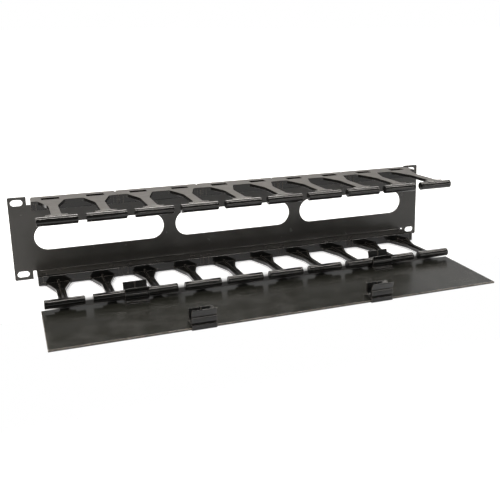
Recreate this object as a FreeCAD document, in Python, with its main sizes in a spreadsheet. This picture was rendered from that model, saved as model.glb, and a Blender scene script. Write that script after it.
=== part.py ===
"""Horizontal cable manager for a 19 inch rack, two units high.

A folded steel panel carries ten plastic finger modules, five above and five
below. The fingers end in round bars. A flat steel cover turns on the lower
bars and snaps onto the upper ones with four identical plastic C-clips.

Frame: the origin is the centre of the four rack slots, on the panel's rear
face. +X points right, +Y into the rack, +Z up. All sizes are millimetres.
"""
import FreeCAD, Part
import math
import os

import Sketcher
from FreeCAD import Placement, Rotation, Vector

doc = FreeCAD.newDocument("cable_manager")

# ---------------------------------------------------------------- driving sizes

SIZES = [
    # rack panel
    ("panel_width", 482.6),
    ("panel_height", 88.1),
    ("panel_thickness", 2.0),
    ("ear_width", 18.3),
    ("relief_width", 3.5),
    ("ear_corner", 1.5),
    ("slot_inset_x", 8.75),
    ("slot_inset_z", 5.95),
    ("slot_length", 12.0),
    ("slot_width", 6.7),
    ("pass_height", 28.4),
    ("pass_web", 13.2),
    ("pass_end", 1.0),
    ("flange_depth", 24.0),
    ("bend_inside", 0.8),
    # base of a finger module
    ("end_trim", 2.75),
    ("module_gap", 0.3),
    ("module_height", 6.0),
    ("module_rear", 6.5),
    ("skin", 2.1),
    ("side_wall", 1.6),
    ("front_wall", 4.2),
    ("front_corner", 0.6),
    ("lip_depth", 2.0),
    ("lip_height", 1.3),
    ("seat_gap", 0.1),
    ("notch_width", 0.9),
    ("notch_depth", 6.0),
    ("window_width", 18.0),
    ("window_depth", 10.0),
    ("bead_width", 1.3),
    ("recess_width", 3.4),
    ("recess_depth", 0.9),
    ("module_peg_radius", 2.5),
    ("module_peg_end", 9.45),
    ("module_peg_inset", 8.0),
    ("peg_hole_gap", 0.2),
    # fingers
    ("gusset_half", 13.0),
    ("gusset_reach", 58.7),
    ("gusset_blend", 32.0),
    ("root_fillet", 4.0),
    ("stem_half", 4.4),
    ("stem_height", 3.4),
    ("stem_end_round", 3.0),
    ("heel_round", 4.5),
    ("heel_depth", 3.6),
    ("rib_width", 1.6),
    ("rib_rise", 1.0),
    ("bar_reach", 105.0),
    ("bar_rise", 4.75),
    ("bar_radius", 4.3),
    ("bar_gap", 7.4),
    ("bar_end_round", 0.5),
    # cover
    ("cover_margin", 4.75),
    ("cover_end_gap", 0.65),
    ("cover_thickness", 2.0),
    ("cover_edge_round", 0.4),
    # clips
    ("clip_length", 23.0),
    ("clip_wall", 1.85),
    ("bore_gap", 0.1),
    ("clip_standoff", 7.4),
    ("block_height", 2.5),
    ("neck_half", 3.0),
    ("toe_reach", 11.0),
    ("toe_height", 1.2),
    ("toe_step", 1.2),
    ("skirt_gap", 0.05),
    ("throat_half", 3.6),
    ("outer_lip_reach", 9.8),
    ("outer_lip_spread", 6.8),
    ("inner_lip_reach", 7.4),
    ("inner_lip_spread", 5.2),
    ("lip_thickness", 1.4),
    ("lip_tip_round", 0.5),
    ("clip_rib_width", 1.0),
    ("clip_rib_height", 0.6),
    ("clip_peg_radius", 2.0),
    ("clip_peg_spacing", 14.0),
    ("clip_peg_inset", 1.0),
]
MODULES_PER_ROW = 5
PASS_THROUGHS = 3
HINGE_GAP = 3  # the hinge clips sit at the third gap between bars, out from the middle
LATCH_GAP = 2

sheet = doc.addObject("Spreadsheet::Sheet", "sizes")
for row, (alias, size) in enumerate(SIZES, start=1):
    sheet.set(f"A{row}", alias)
    sheet.set(f"B{row}", str(size))
    sheet.setAlias(f"B{row}", alias)
doc.recompute()


def value(expression):
    """The number that an expression over the sheet stands for."""
    result = sheet.evalExpression(expression)
    return float(getattr(result, "Value", result))


# Places that several pieces share, written once from the driving sizes.
HALF_WIDTH = "sizes.panel_width / 2"
HALF_HEIGHT = "sizes.panel_height / 2"
BODY_WIDTH = "(sizes.panel_width - 2 * (sizes.ear_width + sizes.relief_width))"
PASS_PITCH = f"(({BODY_WIDTH} - 2 * sizes.pass_end + sizes.pass_web) / {PASS_THROUGHS})"
ROW_WIDTH = f"({BODY_WIDTH} + 2 * sizes.end_trim)"
MODULE_PITCH = f"({ROW_WIDTH} / {MODULES_PER_ROW})"
FINGER_PITCH = f"({MODULE_PITCH} / 2)"
PEG_SPACING = f"({MODULE_PITCH} - 2 * sizes.module_peg_end)"
BAR_LENGTH = f"({FINGER_PITCH} - sizes.bar_gap)"
FLANGE_FACE = "(sizes.panel_height / 2 - sizes.module_height)"
BEND_OUTSIDE = "(sizes.bend_inside + sizes.panel_thickness)"
FLANGE_EDGE = "(sizes.panel_thickness + sizes.flange_depth)"
WALL_BACK = "(sizes.panel_thickness + sizes.flange_depth + 3 * sizes.seat_gap)"
WALL_FACE = f"({WALL_BACK} + sizes.front_wall)"
LIP_FACE = "(sizes.module_height + sizes.panel_thickness + sizes.seat_gap)"
WALL_TOP = f"({LIP_FACE} + sizes.lip_height)"
BAR_HEIGHT = "(sizes.panel_height / 2 - sizes.bar_rise)"
BORE_RADIUS = "(sizes.bar_radius + sizes.bore_gap)"
CLIP_RADIUS = f"({BORE_RADIUS} + sizes.clip_wall)"
COVER_OUTSIDE = "(sizes.clip_standoff + sizes.cover_thickness)"
COVER_TILT = (
    f"asin({COVER_OUTSIDE} / sqrt(sizes.bar_reach ^ 2 + sizes.bar_rise ^ 2))"
    " - atan(sizes.bar_rise / sizes.bar_reach)"
)

# ---------------------------------------------------------------- sketching


def make_body(label):
    """An empty body whose label names its file."""
    body = doc.addObject("PartDesign::Body", label)
    body.Label = label
    return body


def sketch_on(body, plane_role, name, offset=None):
    """A sketch on one of the body's origin planes, moved along its normal."""
    plane = next(f for f in body.Origin.OriginFeatures if f.Role == plane_role)
    sketch = body.newObject("Sketcher::SketchObject", name)
    sketch.AttachmentSupport = (plane, [""])
    sketch.MapMode = "FlatFace"
    if offset is not None:
        sketch.setExpression("AttachmentOffset.Base.z", offset)
    return sketch


def dimension(sketch, kind, expression, *places):
    """One sketch dimension, bound to an expression over the sheet."""
    index = sketch.addConstraint(Sketcher.Constraint(kind, *places, value(expression)))
    sketch.setExpression(f"Constraints[{index}]", expression)


def pin(sketch, geometry, point, across, along):
    """Ties one point of a sketch to its distances from the sketch's origin."""
    for kind, axis, expression in (("DistanceX", -2, across), ("DistanceY", -1, along)):
        if expression == "0":
            sketch.addConstraint(Sketcher.Constraint("PointOnObject", geometry, point, axis))
        else:
            dimension(sketch, kind, expression, -1, 1, geometry, point)


def rounded(before, corner, after, radius):
    """The arc of a rounded corner: its centre and its two tangent points."""
    inward = (before - corner).normalize()
    outward = (after - corner).normalize()
    half = inward.getAngle(outward) / 2
    run = radius / math.tan(half)
    bisector = (inward + outward).normalize()
    centre = corner + bisector * (radius / math.sin(half))
    return centre, corner + inward * run, corner + outward * run


def outline(sketch, corners):
    """A closed outline of straight sides.

    Each corner is (across, along) or (across, along, radius) in expressions.
    A corner with a radius is rounded by an arc tangent to both of its sides.
    """
    places = [Vector(value(c[0]), value(c[1]), 0) for c in corners]
    count = len(corners)
    arcs = {}
    for i, corner in enumerate(corners):
        if len(corner) == 3:
            arcs[i] = rounded(places[i - 1], places[i], places[(i + 1) % count], value(corner[2]))
    sides = []
    for i in range(count):
        j = (i + 1) % count
        start = arcs[i][2] if i in arcs else places[i]
        end = arcs[j][1] if j in arcs else places[j]
        sides.append(sketch.addGeometry(Part.LineSegment(start, end)))
    for i, corner in enumerate(corners):
        before, after = sides[i - 1], sides[i]
        if i not in arcs:
            sketch.addConstraint(Sketcher.Constraint("Coincident", before, 2, after, 1))
            pin(sketch, after, 1, corner[0], corner[1])
            continue
        centre, start, end = arcs[i]
        middle = centre + (places[i] - centre).normalize() * value(corner[2])
        arc = sketch.addGeometry(Part.Arc(start, middle, end))
        first, second = (sketch.getPoint(arc, end_number) for end_number in (1, 2))
        leaves = 1 if (first - start).Length < (second - start).Length else 2
        sketch.addConstraint(Sketcher.Constraint("Tangent", before, 2, arc, leaves))
        sketch.addConstraint(Sketcher.Constraint("Tangent", arc, 3 - leaves, after, 1))
        dimension(sketch, "Radius", corner[2], arc)
        point = sketch.addGeometry(Part.Point(places[i]), True)
        sketch.addConstraint(Sketcher.Constraint("PointOnObject", point, 1, before))
        sketch.addConstraint(Sketcher.Constraint("PointOnObject", point, 1, after))
        pin(sketch, point, 1, corner[0], corner[1])


def rectangle(sketch, left, right, low, high):
    """A rectangle between four expressions."""
    outline(sketch, [(left, low), (right, low), (right, high), (left, high)])


def circle(sketch, across, along, radius):
    """A circle at a place given by expressions."""
    shape = Part.Circle(Vector(value(across), value(along), 0), Vector(0, 0, 1), value(radius))
    index = sketch.addGeometry(shape)
    pin(sketch, index, 3, across, along)
    dimension(sketch, "Radius", radius, index)


def stadium(sketch, across, along, length, width):
    """A slot with round ends, lying across the sketch."""
    radius = f"{width} / 2"
    reach = f"({length} - {width}) / 2"
    centre = Vector(value(across), value(along), 0)
    half = Vector(value(reach), 0, 0)
    rise = Vector(0, value(radius), 0)
    top = sketch.addGeometry(Part.LineSegment(centre + half + rise, centre - half + rise))
    bottom = sketch.addGeometry(Part.LineSegment(centre - half - rise, centre + half - rise))
    ends = []
    for side in (1, -1):
        middle = centre + half * side
        round_end = Part.Circle(middle, Vector(0, 0, 1), value(radius))
        turn = 0 if side > 0 else math.pi
        ends.append(sketch.addGeometry(Part.ArcOfCircle(round_end, turn - math.pi / 2, turn + math.pi / 2)))
    right, left = ends
    sketch.addConstraint(Sketcher.Constraint("Tangent", right, 2, top, 1))
    sketch.addConstraint(Sketcher.Constraint("Tangent", top, 2, left, 1))
    sketch.addConstraint(Sketcher.Constraint("Tangent", left, 2, bottom, 1))
    sketch.addConstraint(Sketcher.Constraint("Tangent", bottom, 2, right, 1))
    sketch.addConstraint(Sketcher.Constraint("Horizontal", top))
    dimension(sketch, "Radius", radius, right)
    pin(sketch, right, 3, f"{across} + {reach}", along)
    dimension(sketch, "DistanceX", f"2 * {reach}", left, 3, right, 3)


# ---------------------------------------------------------------- features


def pad(body, sketch, name, length, midplane=False, backward=None):
    """Material from a sketch: one way, both ways evenly, or both ways apart."""
    feature = body.newObject("PartDesign::Pad", name)
    feature.Profile = sketch
    feature.setExpression("Length", length)
    if midplane:
        feature.SideType = "Symmetric"
    if backward is not None:
        feature.SideType = "Two sides"
        feature.setExpression("Length2", backward)
    return feature


def pocket(body, sketch, name, length, reverse=False, midplane=False):
    """A cut from a sketch. The body must lose volume, or the cut missed it."""
    doc.recompute()
    before = body.Shape.Volume
    feature = body.newObject("PartDesign::Pocket", name)
    feature.Profile = sketch
    feature.setExpression("Length", length)
    feature.Reversed = reverse
    if midplane:
        feature.SideType = "Symmetric"
    doc.recompute()
    if body.Shape.Volume >= before:
        raise RuntimeError(f"{body.Label}: {name} cuts nothing")
    return feature


def repeat(body, features, name, length, occurrences):
    """Copies of features in a row along X, `length` from first to last."""
    pattern = body.newObject("PartDesign::LinearPattern", name)
    pattern.Originals = features
    axis = next(f for f in body.Origin.OriginFeatures if f.Role == "X_Axis")
    pattern.Direction = (axis, [""])
    pattern.setExpression("Length", length)
    pattern.Occurrences = occurrences
    body.Tip = pattern
    doc.recompute()
    return pattern


def edges_where(feature, test):
    """The names of the feature's edges whose middle and direction pass a test."""
    doc.recompute()
    names = []
    for number, edge in enumerate(feature.Shape.Edges, start=1):
        middle = edge.valueAt((edge.FirstParameter + edge.LastParameter) / 2)
        if test(edge, middle):
            names.append(f"Edge{number}")
    return names


def fillet(body, feature, name, radius, test):
    """Rounds the edges of a feature that pass a test."""
    edges = edges_where(feature, test)
    if not edges:
        raise RuntimeError(f"{body.Label}: {name} finds no edge")
    rounding = body.newObject("PartDesign::Fillet", name)
    rounding.Base = (feature, edges)
    rounding.setExpression("Radius", radius)
    return rounding


def near(a, b):
    """Whether two lengths agree to a hundredth of a millimetre."""
    return abs(a - b) < 0.01


def runs_along(edge, axis):
    """Whether an edge is straight and runs along one of the axes."""
    if edge.Curve.TypeId != "Part::GeomLine":
        return False
    return abs(abs(edge.tangentAt(edge.FirstParameter).dot(axis)) - 1) < 1e-6


def place(body, across, depth, height, axis=Vector(0, 0, 1), angle="0"):
    """Places a body by expressions for its origin and its turn about an axis."""
    body.Placement = Placement(Vector(), Rotation(axis, 90))
    body.setExpression("Placement.Base.x", across)
    body.setExpression("Placement.Base.y", depth)
    body.setExpression("Placement.Base.z", height)
    body.setExpression("Placement.Rotation.Angle", angle)


AXIS_X = Vector(1, 0, 0)
AXIS_Y = Vector(0, 1, 0)
AXIS_Z = Vector(0, 0, 1)


def module_centre(number):
    """Where the middle of a row's module lies across the rack, 1 at the left."""
    return f"{number - (MODULES_PER_ROW + 1) / 2} * {MODULE_PITCH}"


# ---------------------------------------------------------------- rack panel


def rack_panel():
    """One punched and folded sheet: flat ears, and a body with two flanges."""
    body = make_body("rack_panel")
    thick = "sizes.panel_thickness"
    inner_face = f"({FLANGE_FACE} - {thick})"

    section = sketch_on(body, "YZ_Plane", "folded_section")
    outline(section, [
        ("0", f"-{FLANGE_FACE}", BEND_OUTSIDE),
        ("0", FLANGE_FACE, BEND_OUTSIDE),
        (f"-{FLANGE_EDGE}", FLANGE_FACE),
        (f"-{FLANGE_EDGE}", inner_face),
        (f"-{thick}", inner_face, "sizes.bend_inside"),
        (f"-{thick}", f"-{inner_face}", "sizes.bend_inside"),
        (f"-{FLANGE_EDGE}", f"-{inner_face}"),
        (f"-{FLANGE_EDGE}", f"-{FLANGE_FACE}"),
    ])
    pad(body, section, "folded_body", BODY_WIDTH, midplane=True)

    # The ears stand past the folds. A relief beside each fold ends where its bend starts.
    ear_edge = f"({HALF_WIDTH} - sizes.ear_width)"
    bend_start = f"({FLANGE_FACE} - {BEND_OUTSIDE})"
    ears = sketch_on(body, "XZ_Plane", "ear_outline")
    outline(ears, [
        (f"-{HALF_WIDTH}", f"-{HALF_HEIGHT}"),
        (f"-{ear_edge}", f"-{HALF_HEIGHT}"),
        (f"-{ear_edge}", f"-{bend_start}"),
        (ear_edge, f"-{bend_start}"),
        (ear_edge, f"-{HALF_HEIGHT}"),
        (HALF_WIDTH, f"-{HALF_HEIGHT}"),
        (HALF_WIDTH, HALF_HEIGHT),
        (ear_edge, HALF_HEIGHT),
        (ear_edge, bend_start),
        (f"-{ear_edge}", bend_start),
        (f"-{ear_edge}", HALF_HEIGHT),
        (f"-{HALF_WIDTH}", HALF_HEIGHT),
    ])
    blank = pad(body, ears, "ears", thick)

    half_width = value(HALF_WIDTH)
    fillet(
        body, blank, "ear_corners", "sizes.ear_corner",
        lambda edge, middle: runs_along(edge, AXIS_Y) and near(abs(middle.x), half_width),
    )

    slots = sketch_on(body, "XZ_Plane", "rack_slots")
    for side in ("", "-"):
        for level in ("", "-"):
            stadium(
                slots, f"{side}({HALF_WIDTH} - sizes.slot_inset_x)",
                f"{level}({HALF_HEIGHT} - sizes.slot_inset_z)",
                "sizes.slot_length", "sizes.slot_width",
            )
    pocket(body, slots, "rack_slot_cuts", f"4 * {thick}", midplane=True)

    hole = sketch_on(body, "XZ_Plane", "pass_through")
    leftmost = f"-{PASS_PITCH} * {(PASS_THROUGHS - 1) / 2}"
    stadium(hole, leftmost, "0", f"({PASS_PITCH} - sizes.pass_web)", "sizes.pass_height")
    first = pocket(body, hole, "pass_through_cut", f"4 * {thick}", midplane=True)
    repeat(body, [first], "pass_throughs", f"{PASS_THROUGHS - 1} * {PASS_PITCH}", PASS_THROUGHS)

    pegs = sketch_on(body, "XY_Plane", "peg_holes")
    for number in range(1, MODULES_PER_ROW + 1):
        for side in ("+", "-"):
            circle(
                pegs, f"{module_centre(number)} {side} {PEG_SPACING} / 2",
                "-(sizes.module_rear + sizes.module_peg_inset)",
                "sizes.module_peg_radius + sizes.peg_hole_gap",
            )
    pocket(body, pegs, "peg_hole_cuts", "sizes.panel_height", midplane=True)
    return body


# ---------------------------------------------------------------- finger modules


def finger_plan(sketch, centre):
    """The plan of one finger: a gusset, a long curve into the stem, and a heel at the bar."""
    root = "sizes.gusset_half"
    flare = f"({root} + sizes.root_fillet)"
    stem = "sizes.stem_half"
    back = f"-({WALL_FACE} - sizes.front_wall / 2)"
    heel = f"({stem} + 1.2 * sizes.heel_round)"
    heel_line = "-(sizes.bar_reach - sizes.heel_depth)"
    outline(sketch, [
        (f"{centre} + {flare}", back),
        (f"{centre} + {flare}", f"-{WALL_FACE}"),
        (f"{centre} + {root}", f"-{WALL_FACE}", "sizes.root_fillet"),
        (f"{centre} + {stem}", "-sizes.gusset_reach", "sizes.gusset_blend"),
        (f"{centre} + {stem}", heel_line, "sizes.heel_round"),
        (f"{centre} + {heel}", heel_line),
        (f"{centre} + {heel}", "-sizes.bar_reach"),
        (f"{centre} - {heel}", "-sizes.bar_reach"),
        (f"{centre} - {heel}", heel_line),
        (f"{centre} - {stem}", heel_line, "sizes.heel_round"),
        (f"{centre} - {stem}", "-sizes.gusset_reach", "sizes.gusset_blend"),
        (f"{centre} - {root}", f"-{WALL_FACE}", "sizes.root_fillet"),
        (f"{centre} - {flare}", f"-{WALL_FACE}"),
        (f"{centre} - {flare}", back),
    ])


def finger_channel(sketch, centre):
    """The hollow of one finger: the same plan, drawn in by a wall's thickness."""
    root = "(sizes.gusset_half - sizes.side_wall)"
    stem = "(sizes.stem_half - sizes.side_wall)"
    blend = "sizes.gusset_blend + sizes.side_wall"
    front = "-(sizes.bar_reach - sizes.bar_radius)"
    outline(sketch, [
        (f"{centre} + {root}", f"-{WALL_FACE}"),
        (f"{centre} + {stem}", "-sizes.gusset_reach", blend),
        (f"{centre} + {stem}", front),
        (f"{centre} - {stem}", front),
        (f"{centre} - {stem}", "-sizes.gusset_reach", blend),
        (f"{centre} - {root}", f"-{WALL_FACE}"),
    ])


def bar_profiles(sketch, centres):
    """Half sections of the round bars, and the axis that they turn about."""
    half = f"{BAR_LENGTH} / 2"
    crest = "-(sizes.bar_reach + sizes.bar_radius)"
    for centre in centres:
        outline(sketch, [
            (f"{centre} - {half}", "-sizes.bar_reach"),
            (f"{centre} + {half}", "-sizes.bar_reach"),
            (f"{centre} + {half}", crest, "sizes.bar_end_round"),
            (f"{centre} - {half}", crest, "sizes.bar_end_round"),
        ])
    reach = Vector(0, -value("sizes.bar_reach"), 0)
    axis = sketch.addGeometry(Part.LineSegment(reach - AXIS_X, reach + AXIS_X), True)
    pin(sketch, axis, 1, "-1", "-sizes.bar_reach")
    pin(sketch, axis, 2, "1", "-sizes.bar_reach")


def finger_module(row, number):
    """A plastic moulding: a hollow base on the flange, and two T-fingers.

    It is drawn as in the lower row, outer face at Z 0 with the duct above it.
    The upper row's are the same, turned over about the Y axis. The two end
    modules stop at the edge of the panel's folded body.
    """
    body = make_body(f"{row}_fingers_{number}")
    turned = row == "upper"
    reach = f"(({MODULE_PITCH} - sizes.module_gap) / 2)"
    end_reach = f"({MODULE_PITCH} / 2 - sizes.end_trim)"
    left = end_reach if number == (MODULES_PER_ROW if turned else 1) else reach
    right = end_reach if number == (1 if turned else MODULES_PER_ROW) else reach
    rear = "sizes.module_rear"
    fingers = (f"-{FINGER_PITCH} / 2", f"{FINGER_PITCH} / 2")

    # base: a shallow tray, open towards the flange
    base = sketch_on(body, "XY_Plane", "base_plan")
    outline(base, [
        (f"-{left}", f"-{WALL_FACE}"),
        (right, f"-{WALL_FACE}"),
        (right, f"-({rear} + sizes.notch_depth)"),
        (f"{right} - sizes.notch_width", f"-({rear} + sizes.notch_depth)"),
        (f"{right} - sizes.notch_width", f"-{rear}"),
        (f"-{left} + sizes.notch_width", f"-{rear}"),
        (f"-{left} + sizes.notch_width", f"-({rear} + sizes.notch_depth)"),
        (f"-{left}", f"-({rear} + sizes.notch_depth)"),
    ])
    pad(body, base, "base", "sizes.module_height")
    tray = sketch_on(body, "XY_Plane", "tray_plan", "sizes.skin")
    side = "(sizes.notch_width + sizes.side_wall)"
    tray_rear = f"-({rear} + sizes.side_wall)"
    rectangle(tray, f"-{left} + {side}", f"{right} - {side}", f"-{WALL_BACK}", tray_rear)
    pocket(body, tray, "tray", "sizes.module_height", reverse=True)

    # front wall, with a lip that hooks over the flange
    wall = sketch_on(body, "YZ_Plane", "front_wall_section")
    lip_edge = f"-({FLANGE_EDGE} - sizes.lip_depth)"
    outline(wall, [
        (f"-{WALL_FACE}", "0"),
        (f"-{WALL_BACK}", "0"),
        (f"-{WALL_BACK}", LIP_FACE),
        (lip_edge, LIP_FACE),
        (lip_edge, f"({WALL_TOP} - sizes.lip_height / 2)"),
        (f"{lip_edge} - sizes.lip_height / 2", WALL_TOP),
        (f"-{WALL_FACE}", WALL_TOP, "sizes.front_corner"),
    ])
    pad(body, wall, "front_wall", right, backward=left)

    # a bead stands at each end of the wall, beside a shallow recess
    recess = sketch_on(body, "XZ_Plane", "wall_recesses", f"{WALL_FACE} - sizes.recess_depth")
    high = f"({WALL_TOP} + sizes.recess_depth)"
    far = "(sizes.bead_width + sizes.recess_width)"
    rectangle(recess, f"-{left} + sizes.bead_width", f"-{left} + {far}", "sizes.skin", high)
    rectangle(recess, f"{right} - {far}", f"{right} - sizes.bead_width", "sizes.skin", high)
    pocket(body, recess, "recesses", "2 * sizes.recess_depth", reverse=True)

    # pegs that enter the flange's holes
    pegs = sketch_on(body, "XY_Plane", "peg_plan", "sizes.skin / 2")
    for sign in ("-", ""):
        circle(
            pegs, f"{sign}{PEG_SPACING} / 2",
            f"-({rear} + sizes.module_peg_inset)", "sizes.module_peg_radius",
        )
    pad(body, pegs, "pegs", "sizes.module_height + (sizes.panel_thickness - sizes.skin) / 2")

    # first finger, hollow on the duct's side with a rib along its middle
    plan = sketch_on(body, "XY_Plane", "finger_plan")
    finger_plan(plan, fingers[0])
    blade = pad(body, plan, "finger", "sizes.stem_height")
    channel = sketch_on(body, "XY_Plane", "finger_channel", "sizes.skin")
    finger_channel(channel, fingers[0])
    hollow = pocket(body, channel, "finger_hollow", "sizes.stem_height", reverse=True)
    rib = sketch_on(body, "XY_Plane", "finger_rib")
    half_rib = "sizes.rib_width / 2"
    rectangle(
        rib, f"{fingers[0]} - {half_rib}", f"{fingers[0]} + {half_rib}",
        "-sizes.bar_reach", f"-{WALL_FACE}",
    )
    web = pad(body, rib, "finger_web", "sizes.stem_height + sizes.rib_rise")
    both = repeat(body, [blade, hollow, web], "fingers", FINGER_PITCH, 2)

    # the stem's outer face curves up into the bar
    tip = value("-sizes.bar_reach")
    fillet(
        body, both, "stem_ends", "sizes.stem_end_round",
        lambda edge, middle: runs_along(edge, AXIS_X) and near(middle.y, tip) and near(middle.z, 0),
    )
    bars = sketch_on(body, "XY_Plane", "bar_sections", "sizes.bar_rise")
    bar_profiles(bars, fingers)
    turn = body.newObject("PartDesign::Revolution", "bars")
    turn.Profile = bars
    turn.ReferenceAxis = (bars, ["Axis0"])
    turn.Angle = 360

    # a window over each finger shows the flange
    windows = sketch_on(body, "XY_Plane", "window_plan")
    for centre in fingers:
        rectangle(
            windows, f"{centre} - sizes.window_width / 2", f"{centre} + sizes.window_width / 2",
            f"-{WALL_BACK}", f"-{WALL_BACK} + sizes.window_depth",
        )
    pocket(body, windows, "windows", "sizes.skin", reverse=True)

    across = module_centre(number)
    if turned:
        place(body, across, "0", HALF_HEIGHT, AXIS_Y, "180")
    else:
        place(body, across, "0", f"-{HALF_HEIGHT}", AXIS_Y, "0")
    return body


# ---------------------------------------------------------------- cover and clips

# The cover's pieces share a frame whose X axis is the hinge's axis. Its Y axis
# points from the latched edge to the hinged edge, and Z is the inner side's normal.
JAW_SPACING = f"(2 * {BAR_HEIGHT})"
HINGE_PLACE = f"({HINGE_GAP} * {FINGER_PITCH})"
LATCH_PLACE = f"({LATCH_GAP} * {FINGER_PITCH})"


def place_on_cover(body, across="0", along="0", turned=False):
    """Places a piece on the cover as it lies open, its outer face on the table."""
    tilt = Rotation(AXIS_X, value(COVER_TILT))
    hinge = Vector(0, -value("sizes.bar_reach"), -value(BAR_HEIGHT))
    offset = tilt.multVec(Vector(value(across), value(along), 0))
    turn = Rotation(AXIS_Z, 180 if turned else 0)
    body.Placement = Placement(hinge + offset, tilt.multiply(turn))


def cover_panel():
    """A flat steel sheet with its edges eased, punched for the clips' pegs."""
    body = make_body("cover_panel")
    plan = sketch_on(body, "XY_Plane", "sheet_plan", f"-{COVER_OUTSIDE}")
    half = f"({ROW_WIDTH} / 2 - sizes.cover_end_gap)"
    rectangle(plan, f"-{half}", half, f"-({JAW_SPACING} + sizes.cover_margin)", "sizes.cover_margin")
    plate = pad(body, plan, "sheet", "sizes.cover_thickness")
    outer, inner = -value(COVER_OUTSIDE), -value("sizes.clip_standoff")
    fillet(
        body, plate, "eased_edges", "sizes.cover_edge_round",
        lambda edge, middle: near(middle.z, outer) or near(middle.z, inner),
    )
    holes = sketch_on(body, "XY_Plane", "clip_holes", f"-{COVER_OUTSIDE}")
    inset = "sizes.clip_peg_inset"
    rows = ((HINGE_PLACE, f"-{inset}"), (LATCH_PLACE, f"-{JAW_SPACING} + {inset}"))
    for position, along in rows:
        for side in ("-", ""):
            for sign in ("-", "+"):
                circle(
                    holes, f"{side}{position} {sign} sizes.clip_peg_spacing / 2", along,
                    "sizes.clip_peg_radius + sizes.bore_gap",
                )
    pocket(body, holes, "clip_hole_cuts", "2 * sizes.cover_thickness", reverse=True)
    place_on_cover(body)
    return body


def clip(label, across, on_latch_edge):
    """A C-clip: a block on the sheet, a neck, a tube that grips a bar, and flared lips."""
    body = make_body(label)
    length = "sizes.clip_length"
    throat = "sizes.throat_half"
    throat_rise = f"sqrt({BORE_RADIUS} ^ 2 - {throat} ^ 2)"
    outer, outer_top = "sizes.outer_lip_spread", "sizes.outer_lip_reach"
    inner, inner_top = "sizes.inner_lip_spread", "sizes.inner_lip_reach"
    both_lips = (("", outer, outer_top), ("-", inner, inner_top))

    tube = sketch_on(body, "YZ_Plane", "tube_section")
    circle(tube, "0", "0", CLIP_RADIUS)
    pad(body, tube, "tube", length, midplane=True)

    block = sketch_on(body, "YZ_Plane", "block_section")
    sheet_edge = "(sizes.cover_margin + sizes.skirt_gap)"
    top = "-(sizes.clip_standoff - sizes.block_height)"
    toe_top = "-(sizes.clip_standoff - sizes.toe_height)"
    step = f"({CLIP_RADIUS} + sizes.toe_step)"
    outline(block, [
        ("-sizes.toe_reach", "-sizes.clip_standoff"),
        (sheet_edge, "-sizes.clip_standoff"),
        (sheet_edge, f"-{COVER_OUTSIDE}"),
        (CLIP_RADIUS, f"-{COVER_OUTSIDE}"),
        (CLIP_RADIUS, top, "sizes.lip_tip_round"),
        (f"-{step}", top, "sizes.lip_tip_round"),
        (f"-{step}", toe_top),
        ("-sizes.toe_reach", toe_top, "sizes.lip_tip_round"),
    ])
    pad(body, block, "block", length, midplane=True)
    neck = sketch_on(body, "YZ_Plane", "neck_section")
    rectangle(
        neck, "-sizes.neck_half", "sizes.neck_half",
        "-sizes.clip_standoff", f"-({BORE_RADIUS} + sizes.clip_wall / 2)",
    )
    pad(body, neck, "neck", length, midplane=True)

    lips = sketch_on(body, "YZ_Plane", "lip_sections")
    for sign, spread, reach in both_lips:
        outline(lips, [
            (f"{sign}{throat}", throat_rise),
            (f"{sign}({throat} + sizes.lip_thickness)", throat_rise),
            (f"{sign}({spread} + sizes.lip_thickness)", reach, "sizes.lip_tip_round"),
            (f"{sign}{spread}", reach, "sizes.lip_tip_round"),
        ])
    pad(body, lips, "lips", length, midplane=True)

    bore = sketch_on(body, "YZ_Plane", "bore_section")
    circle(bore, "0", "0", BORE_RADIUS)
    pocket(body, bore, "bore", f"2 * {length}", midplane=True)
    opening = sketch_on(body, "YZ_Plane", "mouth_section")
    outline(opening, [
        (f"-{throat}", "0"),
        (throat, "0"),
        (throat, throat_rise),
        (outer, outer_top),
        (f"-{inner}", outer_top),
        (f"-{inner}", inner_top),
        (f"-{throat}", throat_rise),
    ])
    pocket(body, opening, "mouth", f"2 * {length}", midplane=True)

    # a rib inside each lip runs in the gap between two bars and centres the cover
    ribs = sketch_on(body, "YZ_Plane", "rib_sections")
    half_lip = "sizes.lip_thickness / 2"
    for sign, spread, reach in both_lips:
        outline(ribs, [
            (f"{sign}({throat} - sizes.clip_rib_height)", throat_rise),
            (f"{sign}({throat} + {half_lip})", throat_rise),
            (f"{sign}({spread} + {half_lip})", reach),
            (f"{sign}({spread} - sizes.clip_rib_height)", reach),
        ])
    pad(body, ribs, "centring_ribs", "sizes.clip_rib_width", midplane=True)

    pegs = sketch_on(body, "XY_Plane", "peg_plan", f"-{COVER_OUTSIDE}")
    for sign in ("-", ""):
        circle(pegs, f"{sign}sizes.clip_peg_spacing / 2", "-sizes.clip_peg_inset", "sizes.clip_peg_radius")
    pad(body, pegs, "pegs", "sizes.cover_thickness + sizes.block_height / 2")

    along = f"-{JAW_SPACING}" if on_latch_edge else "0"
    place_on_cover(body, across, along, turned=on_latch_edge)
    return body


# ---------------------------------------------------------------- the whole part

parts = [rack_panel()]
for row_name in ("upper", "lower"):
    for module_number in range(1, MODULES_PER_ROW + 1):
        parts.append(finger_module(row_name, module_number))
parts.append(cover_panel())
parts.append(clip("hinge_clip_left", f"-{HINGE_PLACE}", False))
parts.append(clip("hinge_clip_right", HINGE_PLACE, False))
parts.append(clip("latch_clip_left", f"-{LATCH_PLACE}", True))
parts.append(clip("latch_clip_right", LATCH_PLACE, True))

doc.recompute()
for thing in doc.Objects:
    if "Invalid" in thing.State or "Error" in thing.State:
        raise RuntimeError(f"{thing.Label} failed: {thing.State}")
for part in parts:
    shape = part.Shape
    if shape.isNull() or not shape.isValid() or len(shape.Solids) != 1:
        raise RuntimeError(f"{part.Label} is not one sound solid")

os.makedirs("parts", exist_ok=True)
for part in parts:
    part.Shape.exportStep(f"parts/{part.Label}.step")
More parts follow.
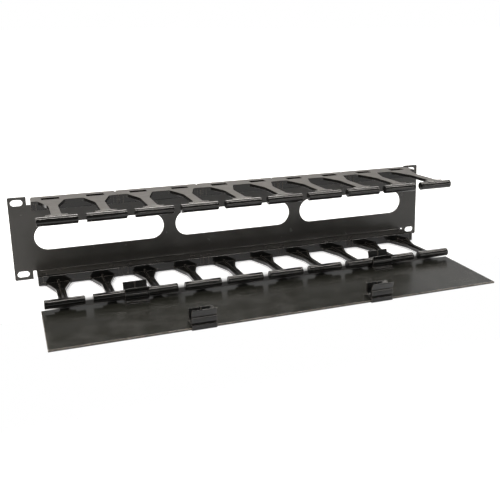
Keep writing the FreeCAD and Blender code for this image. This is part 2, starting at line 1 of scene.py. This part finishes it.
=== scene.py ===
"""A horizontal cable manager for a rack, with its front cover swung open on the table.

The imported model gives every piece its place. This script gives each one its finish,
sets the unit on a pale table under soft studio light, and places the camera.
"""
import math

import bpy
from mathutils import Euler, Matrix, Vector


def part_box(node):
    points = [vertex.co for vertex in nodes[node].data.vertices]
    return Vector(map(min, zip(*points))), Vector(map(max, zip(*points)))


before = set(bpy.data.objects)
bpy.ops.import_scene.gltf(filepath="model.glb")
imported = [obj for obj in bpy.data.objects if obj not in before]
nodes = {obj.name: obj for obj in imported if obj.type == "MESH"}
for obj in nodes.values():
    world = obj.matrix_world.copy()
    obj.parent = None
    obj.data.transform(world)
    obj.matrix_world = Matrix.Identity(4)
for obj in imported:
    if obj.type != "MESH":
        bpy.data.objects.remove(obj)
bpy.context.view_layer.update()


# Panel: one folded sheet of steel under black powder coat. The coat has a fine
# orange peel and hides the steel's grain. Along the edges it is painted paler, partly
# where the coat thins and wears and partly as a painted highlight.

def new_finish(name):
    """A material with its shader, and a way to add nodes to it."""
    material = bpy.data.materials.new(name)
    material.use_nodes = True
    tree = material.node_tree
    shader = tree.nodes["Principled BSDF"]
    place = tree.nodes.new("ShaderNodeTexCoord").outputs["Object"]
    return material, tree, shader, place


def noise(tree, place, scale, detail):
    """A noise field in the object's own space, as a value from 0 to 1."""
    field = tree.nodes.new("ShaderNodeTexNoise")
    field.inputs["Scale"].default_value = scale
    field.inputs["Detail"].default_value = detail
    field.inputs["Roughness"].default_value = 0.5
    tree.links.new(place, field.inputs["Vector"])
    return field.outputs["Fac"]


def ramp(tree, value, low, high, out_low, out_high):
    """Maps a value from one range onto another, held at both ends."""
    node = tree.nodes.new("ShaderNodeMapRange")
    node.inputs["From Min"].default_value = low
    node.inputs["From Max"].default_value = high
    node.inputs["To Min"].default_value = out_low
    node.inputs["To Max"].default_value = out_high
    tree.links.new(value, node.inputs["Value"])
    return node.outputs["Result"]


def blend_colours(tree, factor, first, second):
    """A mix of two colours, each a tuple or a link."""
    mix = tree.nodes.new("ShaderNodeMix")
    mix.data_type = "RGBA"
    tree.links.new(factor, mix.inputs["Factor"])
    for name, colour in (("A", first), ("B", second)):
        socket = next(s for s in mix.inputs if s.name == name and s.type == "RGBA")
        if isinstance(colour, tuple):
            socket.default_value = (*colour, 1.0)
        else:
            tree.links.new(colour, socket)
    return next(s for s in mix.outputs if s.type == "RGBA")


def combine(tree, operation, first, second):
    """A sum, product or the like of two values, each a link or a number."""
    node = tree.nodes.new("ShaderNodeMath")
    node.operation = operation
    for socket, value in zip(node.inputs, (first, second)):
        if isinstance(value, (int, float)):
            socket.default_value = value
        else:
            tree.links.new(value, socket)
    return node.outputs[0]


def soft_edges(tree, radius, blunt, sharp):
    """A normal that rounds each sharp edge, and a mask of the edges it rounds.

    The mask rises from 0 to 1 as the cosine of the turn falls from blunt to sharp.
    """
    rounded = tree.nodes.new("ShaderNodeBevel")
    rounded.samples = 6
    rounded.inputs["Radius"].default_value = radius
    flat = tree.nodes.new("ShaderNodeNewGeometry").outputs["Normal"]
    turn = tree.nodes.new("ShaderNodeVectorMath")
    turn.operation = "DOT_PRODUCT"
    tree.links.new(rounded.outputs["Normal"], turn.inputs[0])
    tree.links.new(flat, turn.inputs[1])
    return rounded.outputs["Normal"], ramp(tree, turn.outputs["Value"], blunt, sharp, 0.0, 1.0)


def bump(tree, shader, height, strength, distance, normal):
    """Adds relief of a given depth in metres to a shader, over its rounded edges."""
    node = tree.nodes.new("ShaderNodeBump")
    node.inputs["Strength"].default_value = strength
    node.inputs["Distance"].default_value = distance
    tree.links.new(height, node.inputs["Height"])
    tree.links.new(normal, node.inputs["Normal"])
    tree.links.new(node.outputs["Normal"], shader.inputs["Normal"])


def powder_coat(name, dark, light, edge_wear_and_sheen, rough, gleam, edge_width):
    """Satin powder coat: two near shades, fine peel, an uneven gloss, and paler edges painted as
    wear and as a highlight.
    """
    material, tree, shader, place = new_finish(name)
    cloud = ramp(tree, noise(tree, place, 18.0, 4.0), 0.3, 0.7, 0.0, 1.0)
    coat = blend_colours(tree, cloud, dark, light)
    normal, edge = soft_edges(tree, edge_width, 0.99, 0.85)
    uneven_edge = ramp(tree, noise(tree, place, 240.0, 3.0), 0.35, 0.65, 0.5, 1.0)
    # Paler colour along the edges, uneven along their length: partly wear of the coat, partly a
    # painted highlight.
    coat = blend_colours(tree, combine(tree, "MULTIPLY", edge, uneven_edge), coat, edge_wear_and_sheen)
    tree.links.new(coat, shader.inputs["Base Color"])
    shader.inputs["Specular IOR Level"].default_value = gleam
    gloss = ramp(tree, noise(tree, place, 60.0, 3.0), 0.3, 0.7, rough - 0.03, rough + 0.04)
    tree.links.new(gloss, shader.inputs["Roughness"])
    bump(tree, shader, noise(tree, place, 900.0, 2.0), 0.06, 0.0002, normal)
    return material


def paint(node, material):
    """Gives a CAD node its finish."""
    nodes[node].data.materials.clear()
    nodes[node].data.materials.append(material)


panel_dark = (0.035, 0.0335, 0.030)
panel_light = (0.045, 0.0425, 0.0385)
# The panel's pale edge colour: partly wear, partly a painted highlight.
panel_edge_wear_and_sheen = (0.16, 0.145, 0.125)
paint("rack_panel", powder_coat("panel_coat", panel_dark, panel_light, panel_edge_wear_and_sheen,
                                rough=0.24, gleam=0.36, edge_width=0.0005))


# Finger modules: ten mouldings in black plastic, pushed onto the panel's flanges.
# The mould's outer faces are spark-eroded to a fine matt grain, a little paler, and
# the stems and round bars come out polished.

def moulded_plastic(name, dark, light, rough, skin_height=None):
    """Black moulded plastic, polished, with a fine matt grain on its outer skin and a painted
    highlight along its edges.
    """
    skin_colour = (0.062, 0.056, 0.048)
    edge_highlight_colour = (0.20, 0.18, 0.155)
    material, tree, shader, place = new_finish(name)
    normal, edge = soft_edges(tree, 0.0006, 0.95, 0.78)
    cloud = ramp(tree, noise(tree, place, 40.0, 4.0), 0.3, 0.7, 0.0, 1.0)
    colour = blend_colours(tree, cloud, dark, light)
    gloss = ramp(tree, noise(tree, place, 120.0, 3.0), 0.3, 0.7, rough - 0.03, rough + 0.04)
    relief = noise(tree, place, 500.0, 2.0)
    if skin_height is not None:
        split = tree.nodes.new("ShaderNodeSeparateXYZ")
        tree.links.new(place, split.inputs["Vector"])
        height = combine(tree, "ABSOLUTE", split.outputs["Z"], 0.0)
        skin = combine(tree, "GREATER_THAN", height, skin_height)
        grain = noise(tree, place, 2200.0, 1.0)
        speck = ramp(tree, grain, 0.35, 0.65, 0.6, 1.5)
        colour = blend_colours(tree, combine(tree, "MULTIPLY", skin, speck), colour, skin_colour)
        gloss = combine(tree, "ADD", gloss, combine(tree, "MULTIPLY", skin, 0.32))
        relief = combine(tree, "ADD", combine(tree, "MULTIPLY", relief, 0.2),
                         combine(tree, "MULTIPLY", skin, grain))
    # The edges are painted a pale warm grey: a painted highlight.
    colour = blend_colours(tree, combine(tree, "MULTIPLY", edge, 0.8), colour, edge_highlight_colour)
    tree.links.new(colour, shader.inputs["Base Color"])
    shader.inputs["Specular IOR Level"].default_value = 0.32
    tree.links.new(gloss, shader.inputs["Roughness"])
    bump(tree, shader, relief, 0.25, 0.0001, normal)
    return material


skin_depth = 0.0002
skin_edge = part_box("upper_fingers_1")[1].z - skin_depth
finger_plastic = moulded_plastic(
    "finger_plastic", (0.005, 0.005, 0.0045), (0.008, 0.0077, 0.007), 0.08, skin_edge)
for node in nodes:
    if "fingers" in node:
        paint(node, finger_plastic)


# Cover: one flat sheet of steel, cut to the panel's height, with its edges broken.
# It is coated like the panel, a shade darker and glossier, and its edges, the long
# front edge among them, carry a painted highlight in light brown.

cover_dark = (0.018, 0.0182, 0.0145)
cover_light = (0.024, 0.0242, 0.0195)
# The light brown along the cover's edges is a painted highlight.
cover_edge_highlight = (0.48, 0.39, 0.31)
paint("cover_panel", powder_coat("cover_coat", cover_dark, cover_light, cover_edge_highlight,
                                 rough=0.19, gleam=0.5, edge_width=0.0013))


# Clips: four like C-clips in black plastic, pegged to the cover. Two turn on the
# lower bars as its hinges, and two snap onto the upper bars. They are moulded as the
# modules are, with a satin surface all over.

clip_plastic = moulded_plastic("clip_plastic", (0.006, 0.006, 0.006), (0.010, 0.010, 0.0095), 0.20)
for node in nodes:
    if "clip" in node:
        paint(node, clip_plastic)


# Table: a white board, wide enough to fill the view, that touches the panel's lower
# edge at the back and the cover's front edge. Its own colour is dark in a strip
# between the lower bars and the cover, in place of the contact shade there.

panel_low, panel_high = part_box("rack_panel")
cover_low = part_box("cover_panel")[0]
lean = math.atan2(panel_low.z - cover_low.z, panel_high.y - cover_low.y)
bpy.ops.object.select_all(action="DESELECT")
bpy.ops.mesh.primitive_plane_add(size=40.0)
floor = bpy.context.object
floor.name = "table"
floor.rotation_euler = (lean, 0.0, 0.0)
floor.location = (0.0, panel_high.y, panel_low.z)

material, tree, shader, place = new_finish("table_white")
shader.inputs["Roughness"].default_value = 0.8
shader.inputs["Specular IOR Level"].default_value = 0.1
path = tree.nodes.new("ShaderNodeLightPath")
shader.inputs["Emission Color"].default_value = (1.0, 1.0, 1.0, 1.0)
seen = combine(tree, "MAXIMUM", path.outputs["Is Camera Ray"], path.outputs["Is Glossy Ray"])
split = tree.nodes.new("ShaderNodeSeparateXYZ")
tree.links.new(place, split.inputs["Vector"])
forward = split.outputs["Y"]
sideways = combine(tree, "ABSOLUTE", split.outputs["X"], 0.0)
under_bars = combine(tree, "MULTIPLY",
                     ramp(tree, forward, -0.114, -0.106, 0.0, 1.0),
                     ramp(tree, forward, -0.084, -0.070, 1.0, 0.0))
along_bars = ramp(tree, sideways, 0.205, 0.222, 1.0, 0.0)
contact = combine(tree, "SUBTRACT", 1.0, combine(tree, "MULTIPLY", under_bars, along_bars))
table_glow = 0.62
glow = combine(tree, "MULTIPLY", seen, table_glow)
tree.links.new(combine(tree, "MULTIPLY", glow, contact), shader.inputs["Emission Strength"])
shaded, white = 0.04, 0.9
shade = ramp(tree, contact, 0.0, 1.0, shaded, white)
tone = tree.nodes.new("ShaderNodeCombineColor")
for channel in ("Red", "Green", "Blue"):
    tree.links.new(shade, tone.inputs[channel])
tree.links.new(tone.outputs["Color"], shader.inputs["Base Color"])

# In front of the bars the table is clear to the eye, so that the cover still shows
# where it swings below the table's top. Light and reflections meet it all over, but
# a shadow that falls in this part is not seen.
swing = combine(tree, "MULTIPLY",
                ramp(tree, forward, -0.31, -0.30, 0.0, 1.0),
                ramp(tree, forward, -0.113, -0.108, 1.0, 0.0))
swing = combine(tree, "MULTIPLY", swing, ramp(tree, sideways, 0.28, 0.29, 1.0, 0.0))
open_top = tree.nodes.new("ShaderNodeMixShader")
clear = tree.nodes.new("ShaderNodeBsdfTransparent")
tree.links.new(combine(tree, "MULTIPLY", swing, path.outputs["Is Camera Ray"]), open_top.inputs[0])
tree.links.new(shader.outputs["BSDF"], open_top.inputs[1])
tree.links.new(clear.outputs["BSDF"], open_top.inputs[2])
tree.links.new(open_top.outputs["Shader"], tree.nodes["Material Output"].inputs["Surface"])
floor.data.materials.append(material)


# Room: white to the eye. In mirror directions it is grey behind the unit and dim in
# front of it, so that the black gloss parts do not turn milky.

world = bpy.data.worlds.new("studio")
bpy.context.scene.world = world
world.use_nodes = True
sky = world.node_tree
background = sky.nodes["Background"]
background.inputs["Color"].default_value = (1.0, 1.0, 1.0, 1.0)
world_path = sky.nodes.new("ShaderNodeLightPath")
toward = sky.nodes.new("ShaderNodeSeparateXYZ")
sky.links.new(sky.nodes.new("ShaderNodeTexCoord").outputs["Generated"], toward.inputs["Vector"])
mirrored_front, mirrored_back = 0.10, 0.42
mirrored = ramp(sky, toward.outputs["Y"], -0.5, 0.5, mirrored_front, mirrored_back)
glossy = world_path.outputs["Is Glossy Ray"]
open_air = combine(sky, "MULTIPLY", combine(sky, "SUBTRACT", 1.0, glossy), 0.5)
room = combine(sky, "ADD", open_air, combine(sky, "MULTIPLY", mirrored, glossy))
sky.links.new(combine(sky, "MAXIMUM", room, world_path.outputs["Is Camera Ray"]),
              background.inputs["Strength"])


# Lamps: two warm softboxes light the unit from the left and from behind, and three
# narrow strips draw only the thin highlights along bars, stems and edges.

def softbox(name, place, aim, size, power, sheen_only=False):
    """A rectangular studio light that faces a point. A strip may draw highlights only."""
    lamp = bpy.data.lights.new(name, "AREA")
    lamp.shape = "RECTANGLE"
    lamp.size, lamp.size_y = size
    lamp.energy = power
    lamp.color = (1.0, 0.95, 0.89)
    holder = bpy.data.objects.new(name, lamp)
    bpy.context.scene.collection.objects.link(holder)
    holder.location = place
    holder.rotation_euler = (Vector(aim) - Vector(place)).to_track_quat("-Z", "Y").to_euler()
    holder.visible_diffuse = not sheen_only
    holder.visible_camera = False


centre = (0, 0, 0)
bars = (0, -0.1, 0)
softbox("key", (-0.9, -0.5, 1.1), centre, (0.8, 0.8), 12.0)
softbox("back", (-0.1, 0.9, 1.1), centre, (1.4, 0.5), 12.0)
softbox("far_strip", (0.0, 0.55, 0.75), bars, (2.2, 0.10), 17.0, sheen_only=True)
softbox("overhead_strip", (0.0, -0.38, 0.9), bars, (2.2, 0.05), 24.0, sheen_only=True)
softbox("front_strip", (0.75, -1.5, 0.20), bars, (1.5, 0.05), 6.0, sheen_only=True)


# Camera: a view from the front left, a little above the unit. The small shift places
# the unit in the frame.

camera_data = bpy.data.cameras.new("camera")
camera_data.lens = 51.039
camera_data.shift_x = -0.0539
camera_data.shift_y = -0.047
camera = bpy.data.objects.new("camera", camera_data)
camera.location = (-0.2373, -0.7608, 0.1847)
camera.rotation_euler = Euler((math.radians(76.127), math.radians(0.935), math.radians(-21.132)))
bpy.context.scene.collection.objects.link(camera)
bpy.context.scene.camera = camera
bpy.context.scene.view_settings.view_transform = "Standard"
